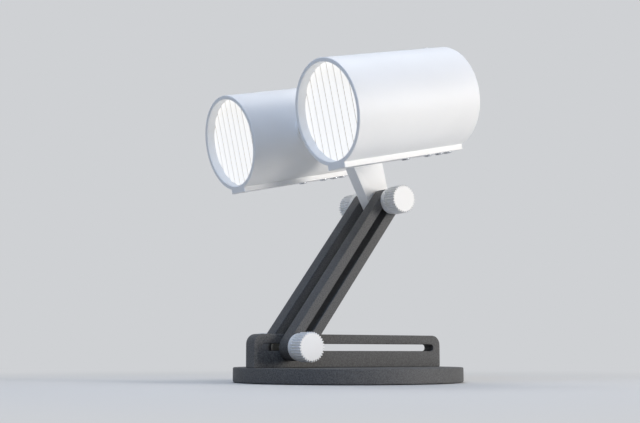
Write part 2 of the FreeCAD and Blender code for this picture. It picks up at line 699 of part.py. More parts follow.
def build_housing(name, side):
    """Drawn tube with a flat mounting foot along its underside and a hub boss on its inner side."""
    body = new_body(name)
    ring = new_sketch(body, "ring", "YZ_Plane", FRONT)
    add_circle(ring, "0", "0", "sizes.tube_radius")
    add_circle(ring, "0", "0", BORE)
    add_pad(body, ring, "tube", "sizes.tube_length")
    foot = new_sketch(body, "foot", "YZ_Plane", FRONT)
    in_wall = "(0.75 * sizes.tube_wall)"
    add_rectangle(foot, "-sizes.foot_width / 2", "sizes.foot_width / 2", f"-{FOOT_LEVEL}",
                  f"-(sizes.tube_radius - {in_wall})")
    add_pad(body, foot, "foot_rail", "sizes.tube_length")
    # the hub boss starts inside the tube's wall and ends at the friction face
    wall_middle = f"({BORE} + 0.25 * sizes.tube_wall)"
    hub = new_sketch(body, "hub", "XZ_Plane", f"{side} * {wall_middle}")
    add_circle(hub, "0", "0", "sizes.cross_tube_radius")
    add_pad(body, hub, "hub_boss", f"{HEAD_Y} - {HUB_FACE} - {wall_middle}", backwards=side < 0)
    seat = new_sketch(body, "seat", "XZ_Plane", f"{side} * {wall_middle}")
    add_circle(seat, "0", "0", "sizes.boss_seat_radius")
    add_pad(body, seat, "nut_seat", f"{wall_middle} - {SEAT}", backwards=side > 0)
    axle = new_sketch(body, "axle", "XZ_Plane", f"{side} * {wall_middle}")
    add_circle(axle, "0", "0", "sizes.axle_radius + sizes.fit_gap")
    add_pocket(body, axle, "axle_bore", "2 * (sizes.hub_height + sizes.tube_wall + sizes.boss_seat_depth)")
    ledge = new_sketch(body, "ledge", "YZ_Plane", LENS_BACK)
    add_circle(ledge, "0", "0", f"{BORE} + 0.5 * sizes.tube_wall")
    add_circle(ledge, "0", "0", f"{BORE} - sizes.ledge_width")
    add_pad(body, ledge, "lens_ledge", "sizes.ledge_depth")
    button = new_sketch(body, "button", "XY_Plane", "sizes.tube_radius")
    add_circle(button, BUTTON_X, "0", "sizes.button_radius + sizes.fit_gap")
    add_pocket(body, button, "button_hole", "4 * sizes.tube_wall")
    screws = new_sketch(body, "screws", "XY_Plane", f"-{FOOT_LEVEL}")
    for across in foot_screw_places():
        add_circle(screws, across, "0", "sizes.foot_screw_radius + sizes.loose_gap")
    add_pocket(body, screws, "screw_holes", "2 * (sizes.foot_depth + 2 * sizes.tube_wall)")
    front = value(FRONT)
    dress_edges(body, "Chamfer", "front_edges", "sizes.front_chamfer", lambda edge: (
        lies_at(edge.CenterOfMass.x, front) and edge.BoundBox.XLength < 0.01))
    place_in_head(body, side)
    return body


def build_lens(name, side):
    """Reeded diffuser: a round pane whose front is a row of upright convex reeds."""
    body = new_body(name)
    sketch = new_sketch(body, "reeds", "XY_Plane")
    count = int(value("sizes.lens_reed_count"))
    radius = f"({BORE} - sizes.loose_gap / 2)"
    crest = f"({FRONT} + sizes.lens_recess)"
    root = f"({crest} + sizes.reed_height)"
    pitch = "sizes.reed_pitch"
    half = "(sizes.lens_reed_count * sizes.reed_pitch / 2)"
    bow = f"({pitch} * {pitch} / 8 / sizes.reed_height + sizes.reed_height / 2)"
    edges = [f"({number} * {pitch} - {half})" for number in range(count + 1)]
    arcs = []
    for low, high in zip(edges, edges[1:]):
        first, last = value(low), value(high)
        ends = (first, (first + last) / 2, last)
        depths = (value(root), value(crest), value(root))
        points = [FreeCAD.Vector(across, along, 0) for across, along in zip(depths, ends)]
        arcs.append(sketch.addGeometry(Part.Arc(*points), False))
    corners = [(root, half), (LENS_BACK, half), (LENS_BACK, f"-{half}"), (root, f"-{half}")]
    points = [FreeCAD.Vector(value(across), value(along), 0) for across, along in corners]
    rest = [sketch.addGeometry(Part.LineSegment(a, b), False) for a, b in zip(points, points[1:])]
    for line, following in zip(rest, rest[1:]):
        sketch.addConstraint(Sketcher.Constraint("Coincident", line, 2, following, 1))
    for line, (across, along) in zip(rest, corners):
        pin_point(sketch, line, 1, across, along)
    pin_point(sketch, rest[-1], 2, *corners[-1])
    # the arcs run clockwise in depth, so each is tied by whichever of its ends lies at the corner
    for number, arc in enumerate(arcs):
        ends = {}
        for position in (1, 2):
            ends[position] = sketch.getPoint(arc, position).y
        low_end = min(ends, key=ends.get)
        high_end = 3 - low_end
        bind(sketch, Sketcher.Constraint("Radius", arc, value(bow)), bow)
        if number == 0:
            sketch.addConstraint(Sketcher.Constraint("Coincident", arc, low_end, rest[-1], 2))
        if number == count - 1:
            sketch.addConstraint(Sketcher.Constraint("Coincident", arc, high_end, rest[0], 1))
        else:
            pin_point(sketch, arc, high_end, root, edges[number + 1])
        if number > 0:
            before = arcs[number - 1]
            sketch.addConstraint(Sketcher.Constraint("Coincident", arc, low_end, before, before_end))
        before_end = high_end
    add_pad(body, sketch, "reeded_pane", f"2 * {radius}", both_ways=True)
    trim = new_sketch(body, "trim", "YZ_Plane", crest)
    outside = "(1.5 * sizes.tube_radius)"
    add_rectangle(trim, f"-{outside}", outside, f"-{outside}", outside)
    add_circle(trim, "0", "0", radius)
    add_pocket(body, trim, "round_trim", "4 * (sizes.lens_thickness + sizes.reed_height)")
    place_in_head(body, side)
    return body


def build_reflector(name, side):
    """Thin white cone from the LED board out to the lens ledge."""
    body = new_body(name)
    sketch = new_sketch(body, "profile", "XY_Plane")
    mouth = f"({LENS_BACK} + sizes.ledge_depth)"
    wide = f"({BORE} - sizes.loose_gap)"
    back = "sizes.reflector_back_radius"
    wall = "sizes.reflector_wall"
    add_polygon(sketch, [
        (mouth, f"{wide} - {wall}"),
        (mouth, wide),
        (f"{mouth} + {wall}", wide),
        (LED_PLANE, f"{back} + {wall}"),
        (LED_PLANE, back),
    ])
    add_revolution(body, sketch, "cone", "H_Axis")
    place_in_head(body, side)
    return body


def build_led_board(name, side):
    body = new_body(name)
    sketch = new_sketch(body, "outline", "YZ_Plane", LED_PLANE)
    add_circle(sketch, "0", "0", "sizes.led_board_radius")
    add_pad(body, sketch, "plate", "sizes.led_board_thickness")
    place_in_head(body, side)
    return body


def build_leds(name, side):
    """One LED in the middle of the board and six round it."""
    chips = []
    for number in range(7):
        chip = doc.addObject("Part::Box", f"{name}_{number + 1}")
        chip.setExpression("Length", "sizes.led_height")
        chip.setExpression("Width", "sizes.led_size")
        chip.setExpression("Height", "sizes.led_size")
        ring = "sizes.led_ring_radius" if number else "0"
        chip.setExpression("Placement.Base.x", f"{LED_PLANE} - sizes.led_height")
        chip.setExpression("Placement.Base.y", f"{ring} * cos({number * 60}) - sizes.led_size / 2")
        chip.setExpression("Placement.Base.z", f"{ring} * sin({number * 60}) - sizes.led_size / 2")
        chips.append(chip)
    group = doc.addObject("Part::Compound", name)
    group.Label = name
    group.Links = chips
    place_in_head(group, side)
    return group


def build_heat_sink(name, side):
    """Round plate behind the LED board with straight upright fins."""
    body = new_body(name)
    sketch = new_sketch(body, "outline", "YZ_Plane", SINK_FRONT)
    add_circle(sketch, "0", "0", f"{BORE} - sizes.loose_gap")
    add_pad(body, sketch, "block", "sizes.sink_depth")
    gap = new_sketch(body, "fin_gap", "XY_Plane")
    fins = f"({SINK_FRONT} + sizes.sink_plate)"
    end = f"({SINK_FRONT} + 2 * sizes.sink_depth)"
    add_rectangle(gap, fins, end, "-4.5 * sizes.fin_pitch + sizes.fin_gap / 2",
                  "-4.5 * sizes.fin_pitch + 1.5 * sizes.fin_gap")
    cut = add_pocket(body, gap, "fin_cut", "3 * sizes.tube_radius")
    pattern = body.newObject("PartDesign::LinearPattern", f"{name}_fins")
    pattern.Originals = [cut]
    pattern.Direction = (gap, ["V_Axis"])
    pattern.setExpression("Length", "8 * sizes.fin_pitch")
    pattern.Occurrences = 9
    body.Tip = pattern
    place_in_head(body, side)
    return body


def build_chassis(name, side):
    """Moulded tray screwed to the foot, with four posts up to the control board."""
    body = new_body(name)
    tray = new_sketch(body, "tray", "XY_Plane", TRAY_UNDERSIDE)
    add_rectangle(tray, TRAY_START, TRAY_END, f"-{TRAY_HALF}", TRAY_HALF)
    add_pad(body, tray, "floor", "sizes.tray_thickness")
    posts = new_sketch(body, "posts", "XY_Plane", TRAY_FLOOR)
    for across in (f"{TRAY_START} + sizes.post_inset", f"{TRAY_END} - sizes.post_inset"):
        for along in (-1, 1):
            add_circle(posts, across, f"{along} * ({TRAY_HALF} - sizes.post_radius - sizes.fit_gap)",
                       "sizes.post_radius")
    add_pad(body, posts, "post_set", f"sizes.board_level - {TRAY_FLOOR}")
    # the bosses start inside the tray and stand on the tube's wall
    root = f"({TRAY_FLOOR} - sizes.tray_thickness / 2)"
    bosses = new_sketch(body, "bosses", "XY_Plane", root)
    for across in foot_screw_places():
        add_circle(bosses, across, "0", "sizes.tray_boss_radius")
    edge = "sizes.tray_boss_radius"
    wall = f"(sqrt({BORE} * {BORE} - {edge} * {edge}) - sizes.fit_gap)"
    add_pad(body, bosses, "boss_set", f"{root} + {wall}", backwards=True)
    holes = new_sketch(body, "holes", "XY_Plane", TRAY_FLOOR)
    for across in foot_screw_places():
        add_circle(holes, across, "0", "sizes.foot_screw_radius + sizes.fit_gap")
    add_pocket(body, holes, "screw_ways", f"2 * ({FOOT_LEVEL} + {TRAY_FLOOR})")
    place_in_head(body, side)
    return body


def build_cells(name, side):
    """Two round rechargeable cells lying side by side on the tray."""
    cells = []
    for number, across in enumerate((-1, 1), start=1):
        cell = doc.addObject("Part::Cylinder", f"{name}_{number}")
        cell.setExpression("Radius", "sizes.cell_radius")
        cell.setExpression("Height", f"{TRAY_END} - {TRAY_START} - 2 * sizes.cell_end_gap")
        place(cell, f"{TRAY_START} + sizes.cell_end_gap", f"{across} * (sizes.cell_radius + sizes.fit_gap)",
              f"{TRAY_FLOOR} + sizes.cell_radius + sizes.fit_gap", (0, 1, 0), "90")
        cells.append(cell)
    pair = doc.addObject("Part::Compound", name)
    pair.Label = name
    pair.Links = cells
    place_in_head(pair, side)
    return pair


def build_control_board(name, side):
    body = new_body(name)
    sketch = new_sketch(body, "outline", "XY_Plane", "sizes.board_level")
    half = f"({TRAY_HALF} - sizes.board_inset)"
    add_rectangle(sketch, TRAY_START, f"{REAR} - sizes.loose_gap", f"-{half}", half)
    add_pad(body, sketch, "plate", "sizes.board_thickness")
    place_in_head(body, side)
    return body


def build_switch(name, side):
    """Small press switch on the board, straight under the button."""
    body = new_body(name)
    level = "(sizes.board_level + sizes.board_thickness)"
    sketch = new_sketch(body, "case", "XY_Plane", level)
    half = "(sizes.switch_size / 2)"
    add_rectangle(sketch, f"{BUTTON_X} - {half}", f"{BUTTON_X} + {half}", f"-{half}", half)
    add_pad(body, sketch, "body", "sizes.switch_height - sizes.plunger_rise")
    cap = new_sketch(body, "cap", "XY_Plane", level)
    add_circle(cap, BUTTON_X, "0", "sizes.button_stem_radius")
    add_pad(body, cap, "plunger", "sizes.switch_height")
    place_in_head(body, side)
    return body


def build_button(name, side):
    """Push button through the top of the tube, with a flange inside and a stem down to the switch."""
    body = new_body(name)
    sketch = new_sketch(body, "profile", "XZ_Plane")
    middle = BUTTON_X
    edge = "sizes.button_flange_radius"
    flange = f"(sqrt({BORE} * {BORE} - {edge} * {edge}) - sizes.fit_gap)"
    bottom = ("(sizes.board_level + sizes.board_thickness + sizes.switch_height"
              " + sizes.button_travel + sizes.fit_gap)")
    shoulder = f"({flange} - sizes.button_flange_thickness)"
    top = "(sizes.tube_radius + sizes.button_proud)"
    add_polygon(sketch, [
        (middle, bottom),
        (f"{middle} + sizes.button_stem_radius", bottom),
        (f"{middle} + sizes.button_stem_radius", shoulder),
        (f"{middle} + {edge}", shoulder),
        (f"{middle} + {edge}", flange),
        (f"{middle} + sizes.button_radius", flange),
        (f"{middle} + sizes.button_radius", f"{top} - sizes.front_chamfer"),
        (f"{middle} + sizes.button_radius - sizes.front_chamfer", top),
        (middle, top),
    ])
    add_axis(sketch, middle)
    add_revolution(body, sketch, "turned", "Axis0")
    place_in_head(body, side)
    return body


def build_rear_cap(name, side):
    """Push-in rear cover with a dished face, a plug ring inside the tube and a hole for the socket."""
    body = new_body(name)
    sketch = new_sketch(body, "profile", "XY_Plane")
    outer = "sizes.tube_radius"
    plug = f"({BORE} - sizes.fit_gap * 2)"
    back = f"({REAR} + sizes.cap_thickness)"
    dish = f"({outer} - sizes.cap_rim)"
    add_polygon(sketch, [
        (REAR, "0"),
        (REAR, f"{plug} - sizes.cap_plug_wall"),
        (f"{REAR} - sizes.cap_plug_depth", f"{plug} - sizes.cap_plug_wall"),
        (f"{REAR} - sizes.cap_plug_depth", plug),
        (REAR, plug),
        (REAR, outer),
        (f"{back} - sizes.cap_chamfer", outer),
        (back, f"{outer} - sizes.cap_chamfer"),
        (back, dish),
        (f"{back} - sizes.cap_dish", f"{dish} - sizes.cap_dish"),
        (f"{back} - sizes.cap_dish", "0"),
    ])
    add_revolution(body, sketch, "turned", "H_Axis")
    hole = new_sketch(body, "socket_hole", "YZ_Plane", REAR)
    radius = f"(sizes.socket_height / 2 + sizes.fit_gap)"
    reach = "((sizes.socket_width - sizes.socket_height) / 2)"
    add_obround(hole, f"-{reach}", reach, SOCKET_LEVEL, radius)
    add_pocket(body, hole, "socket_way", "4 * sizes.cap_thickness")
    place_in_head(body, side)
    return body


def build_socket(name, side):
    """Charging socket: an oval shell under the board's rear edge with a flat tongue inside."""
    body = new_body(name)
    back = f"({REAR} + sizes.cap_thickness - sizes.cap_dish)"
    reach = "((sizes.socket_width - sizes.socket_height) / 2)"
    shell = new_sketch(body, "shell", "YZ_Plane", f"{back} - sizes.socket_depth")
    add_obround(shell, f"-{reach}", reach, SOCKET_LEVEL, "sizes.socket_height / 2")
    add_pad(body, shell, "case", "sizes.socket_depth")
    hollow = new_sketch(body, "hollow", "YZ_Plane", back)
    add_obround(hollow, f"-{reach}", reach, SOCKET_LEVEL, "sizes.socket_height / 2 - sizes.socket_wall")
    add_pocket(body, hollow, "mouth", "2 * (sizes.socket_depth - sizes.socket_floor)")
    tongue = new_sketch(body, "tongue", "YZ_Plane", f"{back} - sizes.socket_depth")
    half = "(sizes.tongue_thickness / 2)"
    add_rectangle(tongue, f"-{reach} - {half}", f"{reach} + {half}", f"{SOCKET_LEVEL} - {half}",
                  f"{SOCKET_LEVEL} + {half}")
    add_pad(body, tongue, "contacts", "sizes.socket_depth - sizes.socket_floor")
    place_in_head(body, side)
    return body


def build_foot_screws(name, side):
    """Four domed screws up through the foot into the tray's bosses."""
    body = new_body(name)
    shank = new_sketch(body, "shank", "XY_Plane", f"-{FOOT_LEVEL}")
    heads = new_sketch(body, "heads", "XY_Plane", f"-{FOOT_LEVEL}")
    for across in foot_screw_places():
        add_circle(shank, across, "0", "sizes.foot_screw_radius")
        add_circle(heads, across, "0", "sizes.foot_screw_head_radius")
    add_pad(body, shank, "shanks", f"{FOOT_LEVEL} + {TRAY_FLOOR}")
    add_pad(body, heads, "domes", "sizes.foot_screw_head_height", backwards=True)
    low = value(f"-{FOOT_LEVEL} - sizes.foot_screw_head_height")
    dress_edges(body, "Chamfer", "rounding", "0.6 * sizes.foot_screw_head_height", lambda edge: (
        lies_at(edge.CenterOfMass.z, low)))
    place_in_head(body, side)
    return body


# ---------------------------------------------------------------- the whole lamp

def build_lamp():
    nodes = [build_base_disc(), build_base_pad(), build_slotted_rail(), build_rail_screws()]
    upper_washer_gap = f"({ARM_INNER} - sizes.spacer_thickness)"
    for level, across, up in (("lower", LOWER_X, PIVOT_Z), ("upper", UPPER_X, UPPER_Z)):
        nodes.append(build_stud(f"{level}_stud", across, up))
        nodes.append(build_washers(f"{level}_spacers", upper_washer_gap, "sizes.spacer_thickness",
                                   "sizes.spacer_radius", SLOT_RADIUS, across, up))
        for tag, side in (("near", -1), ("far", 1)):
            nodes.append(build_knob(f"{level}_{tag}_knob", side, across, up))
            nodes.append(build_insert(f"{level}_{tag}_insert", side, across, up))
    nodes.append(build_bracket())
    nodes.append(build_cross_tube())
    nodes.append(build_tilt_axle())
    nodes.append(build_axle_nuts())
    washer_bore = "sizes.axle_radius + sizes.fit_gap"
    nodes.append(build_washers("friction_washers", "sizes.cross_tube_half", "sizes.friction_thickness",
                               "sizes.cross_tube_radius", washer_bore, TILT_X, TILT_Z))
    spring_seat = f"({HEAD_Y} - {SEAT})"
    nodes.append(build_washers("spring_washers", spring_seat, "sizes.spring_washer_height",
                               "sizes.nut_radius", washer_bore, TILT_X, TILT_Z))
    for tag, side in (("near", -1), ("far", 1)):
        nodes.append(build_arm(f"{tag}_arm", side))
        for piece, build in (
                ("housing", build_housing), ("lens", build_lens), ("reflector", build_reflector),
                ("led_board", build_led_board), ("leds", build_leds), ("heat_sink", build_heat_sink),
                ("chassis", build_chassis), ("cells", build_cells), ("control_board", build_control_board),
                ("switch", build_switch), ("button", build_button), ("rear_cap", build_rear_cap),
                ("charge_socket", build_socket), ("foot_screws", build_foot_screws)):
            nodes.append(build(f"{tag}_{piece}", side))
    return nodes


def check_and_write(nodes):
    doc.recompute()
    failed = [item.Name for item in doc.Objects if {"Invalid", "Error"} & set(item.State)]
    if failed:
        raise RuntimeError(f"features failed: {failed}")
    for node in nodes:
        if node.Shape.isNull() or not node.Shape.isValid():
            raise RuntimeError(f"{node.Label} has no valid shape")
    os.makedirs("parts", exist_ok=True)
    for node in nodes:
        node.Shape.exportStep(f"parts/{node.Label}.step")


check_and_write(build_lamp())
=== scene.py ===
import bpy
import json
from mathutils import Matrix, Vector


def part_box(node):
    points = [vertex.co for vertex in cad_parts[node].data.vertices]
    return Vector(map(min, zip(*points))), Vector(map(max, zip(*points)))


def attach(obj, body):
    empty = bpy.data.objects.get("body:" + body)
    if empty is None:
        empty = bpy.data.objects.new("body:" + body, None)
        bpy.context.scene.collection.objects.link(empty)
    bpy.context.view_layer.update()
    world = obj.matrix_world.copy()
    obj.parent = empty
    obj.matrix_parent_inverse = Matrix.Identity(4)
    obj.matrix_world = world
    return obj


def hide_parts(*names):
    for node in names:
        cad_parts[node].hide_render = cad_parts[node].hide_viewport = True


bl_info = {
    "name": "Accordion desk lamp",
    "version": (1, 0, 0),
    "blender": (4, 5, 0),
    "location": "3D View > Sidebar > Lamp",
    "description": "Finishes of a twin-head desk lamp on a slotted folding arm",
    "category": "Object",
}

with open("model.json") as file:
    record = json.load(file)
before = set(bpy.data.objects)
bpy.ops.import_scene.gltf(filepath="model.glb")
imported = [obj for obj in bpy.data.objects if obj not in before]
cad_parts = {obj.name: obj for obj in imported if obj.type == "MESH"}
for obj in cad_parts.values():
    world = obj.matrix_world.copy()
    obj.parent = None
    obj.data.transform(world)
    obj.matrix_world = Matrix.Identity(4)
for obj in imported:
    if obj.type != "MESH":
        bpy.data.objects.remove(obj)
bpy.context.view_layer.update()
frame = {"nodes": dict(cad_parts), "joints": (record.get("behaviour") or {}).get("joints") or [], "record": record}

import json
import math

import bmesh
import bpy
from mathutils import Matrix, Vector

# Metres throughout. The frame gives every place: +X runs along the rail, +Y along the pivots and +Z up.
MM = 0.001
SIDES = {"near": -1, "far": 1}
ACROSS = Vector((0, 1, 0))
UPWARD = Vector((0, 0, 1))


def joint_point(name):
    """Place of a hinge in the frame."""
    return Vector(next(joint["pos_m"] for joint in frame["joints"] if joint["name"] == name))


LOWER_PIVOT = joint_point("arm_pivot")
UPPER_PIVOT = joint_point("bracket_pivot")
TILT_AXIS = joint_point("near_head_tilt")
HEAD_DOWN = Vector(next(joint["axis"] for joint in frame["joints"] if joint["name"] == "near_button_press"))
HEAD_BACK = HEAD_DOWN.cross(ACROSS)
HEAD_Y = sum(corner.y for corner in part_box("far_rear_cap")) / 2

# Sizes of the solids that the frame's boxes don't give.
SLOT_RADIUS = 3 * MM
REED_PITCH = 8.57 * MM
FOOT_SCREWS_FROM_REAR = (54 * MM, 29.5 * MM, 17 * MM, 7.4 * MM)

# Meshes: how near points are joined, the sharpest edge shaded smooth, and the steps round an edge or an arc.
WELD = 0.001 * MM
CREASE = math.radians(32)
EDGE_STEPS = 4
ARC_STEPS = 16

# Stage: the camera stands where the photo's outlines put it, low over the table. Its angles are in degrees.
CAMERA_PLACE = (-0.5613, -0.7933, 0.0249)
CAMERA_RISE = 7.329
CAMERA_HEADING = -33.85
CAMERA_LENS = 62.05
PAPER = "#E7E5E1"
BACKDROP = "#CFD1D4"
DOME = "#D3E0F5"
FLOOR_REACH = 6.0


# ---------------------------------------------------------------- settings

class LampSizes(bpy.types.PropertyGroup):
    """Sizes of the pieces that are drawn here"""
    disc_round: bpy.props.FloatProperty(
        name="Disc edge", description="Rounding of the base disc's rim",
        default=1.2 * MM, min=0.1 * MM, unit="LENGTH")
    edge_round: bpy.props.FloatProperty(
        name="Edge rounding", description="Radius of the soft edge on the coated links and rail",
        default=0.7 * MM, min=0.1 * MM, unit="LENGTH")
    bracket_round: bpy.props.FloatProperty(
        name="Bracket edge", description="Radius of the moulded bracket's edges",
        default=0.6 * MM, min=0.1 * MM, unit="LENGTH")
    knob_teeth: bpy.props.IntProperty(
        name="Knob teeth", description="Flutes round each clamp knob", default=32, min=12)
    tooth_depth: bpy.props.FloatProperty(
        name="Tooth depth", description="Depth of a knob's flutes",
        default=1.35 * MM, min=0.0, unit="LENGTH")
    screw_socket: bpy.props.FloatProperty(
        name="Screw socket", description="Width across the flats of a foot screw's hexagon socket",
        default=2.5 * MM, min=1 * MM, max=4 * MM, unit="LENGTH")


def linear(code):
    """Linear colour with full alpha from an sRGB hex code."""
    channels = [int(code[place:place + 2], 16) / 255 for place in (1, 3, 5)]
    return [part / 12.92 if part <= 0.04045 else ((part + 0.055) / 1.055) ** 2.4 for part in channels] + [1.0]


class LampColours(bpy.types.PropertyGroup):
    """Colours of the outer pieces and strength of the light"""
    coat: bpy.props.FloatVectorProperty(
        name="Coat", description="Powder coat of the base, rail and links",
        subtype="COLOR", size=4, min=0.0, max=1.0, default=linear("#565656"))
    shell: bpy.props.FloatVectorProperty(
        name="Shell", description="Moulded plastic of the heads and the bracket",
        subtype="COLOR", size=4, min=0.0, max=1.0, default=linear("#F2F2F1"))
    knob: bpy.props.FloatVectorProperty(
        name="Knobs", description="Moulded plastic of the four clamp knobs",
        subtype="COLOR", size=4, min=0.0, max=1.0, default=linear("#F2F2F1"))
    light: bpy.props.FloatVectorProperty(
        name="Light", description="Colour of the light that the diffusers give off",
        subtype="COLOR", size=4, min=0.0, max=1.0, default=linear("#FFFDF9"))
    glow: bpy.props.FloatProperty(
        name="Glow", description="Strength of the light that the diffusers give off",
        default=0.67, min=0.0, soft_max=5.0, subtype="FACTOR")


# ---------------------------------------------------------------- materials

def shade(colour, share):
    """Colour with its light multiplied by a share, and full alpha."""
    return [min(1.0, part * share) for part in colour[:3]] + [1.0]


def add_node(tree, kind, settings=None, links=None):
    """Adds a node, sets its properties and unlinked inputs, and feeds its inputs from other sockets."""
    node = tree.nodes.new(kind)
    for name, setting in (settings or {}).items():
        if isinstance(name, int) or name in node.inputs:
            node.inputs[name].default_value = setting
        else:
            setattr(node, name, setting)
    for name, socket in (links or {}).items():
        tree.links.new(socket, node.inputs[name])
    return node


def new_material(name):
    """Empty material with its tree, its surface shader and the object's own coordinates."""
    material = bpy.data.materials.new(name)
    material.use_nodes = True
    tree = material.node_tree
    tree.nodes.clear()
    shader = add_node(tree, "ShaderNodeBsdfPrincipled")
    add_node(tree, "ShaderNodeOutputMaterial", links={"Surface": shader.outputs["BSDF"]})
    place = add_node(tree, "ShaderNodeTexCoord").outputs["Object"]
    return material, tree, shader, place


def grain(tree, place, size, detail=2.0):
    """Noise whose blobs are about size across."""
    settings = {"Scale": 1 / size, "Detail": detail, "Roughness": 0.55}
    return add_node(tree, "ShaderNodeTexNoise", settings, {"Vector": place}).outputs["Fac"]


def spread(tree, factor, low, high, start=0.3, end=0.7):
    """Value that eases from low to high as the factor goes from start to end."""
    settings = {
        "interpolation_type": "SMOOTHSTEP", "From Min": start, "From Max": end, "To Min": low, "To Max": high}
    return add_node(tree, "ShaderNodeMapRange", settings, {"Value": factor}).outputs["Result"]


def tint(tree, factor, dark, light, start=0.3, end=0.7):
    """Linear colour from dark to light as the factor goes from start to end."""
    ramp = add_node(tree, "ShaderNodeValToRGB", links={"Fac": factor})
    first, last = ramp.color_ramp.elements
    first.position, first.color = start, dark
    last.position, last.color = end, light
    return ramp.outputs["Color"]


def relief(tree, shader, height, depth):
    """Bump of a real depth under the surface's own shading."""
    bump = add_node(tree, "ShaderNodeBump", {"Distance": depth, "Strength": 1.0}, {"Height": height})
    tree.links.new(bump.outputs["Normal"], shader.inputs["Normal"])


def plain_finish(name, dark, light, roughness, metallic=0.0, size=1.2 * MM, depth=0.01 * MM, ior=None):
    """Finish of one material: colour and roughness vary over grains of a real size, with a shallow relief."""
    material, tree, shader, place = new_material(name)
    fleck = grain(tree, place, size)
    tree.links.new(tint(tree, fleck, linear(dark), linear(light)), shader.inputs["Base Color"])
    tree.links.new(spread(tree, fleck, *roughness), shader.inputs["Roughness"])
    shader.inputs["Metallic"].default_value = metallic
    if ior is not None:
        shader.inputs["IOR"].default_value = ior
    relief(tree, shader, fleck, depth)
    return material


def sand_powder_coat():
    """Polyester powder coat on steel, baked with a sand texture: matt charcoal with a fine, paler grit.

    The grit is about 0.3 mm on the real coat. Its larger grains are drawn at 1 mm, the least that shows.
    """
    material, tree, shader, place = new_material("sand_powder_coat_on_steel")
    dust_share = 0.35
    grit = grain(tree, place, 1.0 * MM, detail=1.0)
    dust = grain(tree, place, 0.4 * MM, detail=1.0)
    share = add_node(tree, "ShaderNodeMath", {"operation": "MULTIPLY", 1: dust_share}, {0: dust})
    mixed = add_node(tree, "ShaderNodeMath", {"operation": "MULTIPLY_ADD", 1: 1 - dust_share}, {
        0: grit, 2: share.outputs["Value"]}).outputs["Value"]
    coat = bpy.context.scene.lamp_colours.coat
    speckle = tint(tree, mixed, shade(coat, 0.48), shade(coat, 1.55), start=0.36, end=0.64)
    tree.links.new(speckle, shader.inputs["Base Color"])
    tree.links.new(spread(tree, grit, 0.6, 0.85), shader.inputs["Roughness"])
    shader.inputs["IOR"].default_value = 1.5
    relief(tree, shader, mixed, 0.14 * MM)
    return material


def moulded_white(name, colour, ior, erosion):
    """Injection-moulded white plastic with a spark-eroded satin face: soft broad highlights, no sparkle.

    The erosion is about 0.05 mm on the real face and is drawn coarser, very shallow. The colour drifts a
    little over the whole piece, as it does where the melt has flowed.
    """
    material, tree, shader, place = new_material(name)
    fine = grain(tree, place, erosion)
    broad = grain(tree, place, 45 * MM, detail=1.0)
    drift = tint(tree, broad, shade(colour, 0.98), shade(colour, 1.02))
    tree.links.new(drift, shader.inputs["Base Color"])
    tree.links.new(spread(tree, fine, 0.48, 0.56), shader.inputs["Roughness"])
    shader.inputs["IOR"].default_value = ior
    relief(tree, shader, fine, 0.005 * MM)
    return material


def satin_abs():
    """ABS of the heads, the bracket and the buttons."""
    return moulded_white("satin_white_abs", bpy.context.scene.lamp_colours.shell, 1.5, 0.7 * MM)


def knob_nylon():
    """Nylon of the clamp knobs, with a finer face than the heads."""
    return moulded_white("moulded_white_nylon", bpy.context.scene.lamp_colours.knob, 1.53, 0.5 * MM)


def diffuser_acrylic():
    """Opal acrylic pane, extruded with convex reeds: lit from behind, brightest along each reed's crest.

    The thin grey line where two reeds meet is painted shade: the pane's colour and its glow are both
    darkened there. One such line crosses the middle.
    """
    material, tree, shader, place = new_material("opal_reeded_acrylic")
    groove_start, groove_end, painted_line_glow_share = 0.02, 0.09, 0.42
    parts = add_node(tree, "ShaderNodeSeparateXYZ", links={"Vector": place})
    # the heads mirror each other, so the distance from the lamp's middle serves both
    outward = add_node(tree, "ShaderNodeMath", {"operation": "ABSOLUTE"}, {0: parts.outputs["Y"]})
    in_pitches = {"operation": "MULTIPLY_ADD", 1: 1 / REED_PITCH, 2: -HEAD_Y / REED_PITCH}
    across = add_node(tree, "ShaderNodeMath", in_pitches, {0: outward.outputs["Value"]})
    groove = add_node(tree, "ShaderNodeMath", {"operation": "PINGPONG", 1: 0.5}, {
        0: across.outputs["Value"]}).outputs["Value"]
    haze = grain(tree, place, 18 * MM, detail=1.0)
    # painted shade: the pane's colour is darkened along the thin line where two reeds meet
    opal_with_painted_shade = tint(tree, groove, linear("#ACA7A0"), linear("#D4D3D0"), groove_start, groove_end)
    tree.links.new(opal_with_painted_shade, shader.inputs["Base Color"])
    colours = bpy.context.scene.lamp_colours
    # painted shade: the glow is dimmed along the same line
    lit = tint(tree, groove, shade(colours.light, painted_line_glow_share), colours.light, groove_start, groove_end)
    tree.links.new(lit, shader.inputs["Emission Color"])
    shader.inputs["Emission Strength"].default_value = colours.glow
    tree.links.new(spread(tree, haze, 0.24, 0.3), shader.inputs["Roughness"])
    shader.inputs["IOR"].default_value = 1.49
    return material


def zinc_steel():
    """Turned steel with bright zinc plating: shiny, cool grey metal with faint duller clouds."""
    material, tree, shader, place = new_material("bright_zinc_plated_steel")
    clouds = {"Scale": 1 / (1.5 * MM), "Detail": 3.0}
    cloud = add_node(tree, "ShaderNodeTexNoise", clouds, {"Vector": place}).outputs["Fac"]
    tree.links.new(tint(tree, cloud, linear("#B9BCC2"), linear("#D6D8DB")), shader.inputs["Base Color"])
    tree.links.new(spread(tree, cloud, 0.2, 0.36), shader.inputs["Roughness"])
    shader.inputs["Metallic"].default_value = 1.0
    relief(tree, shader, cloud, 0.002 * MM)
    return material


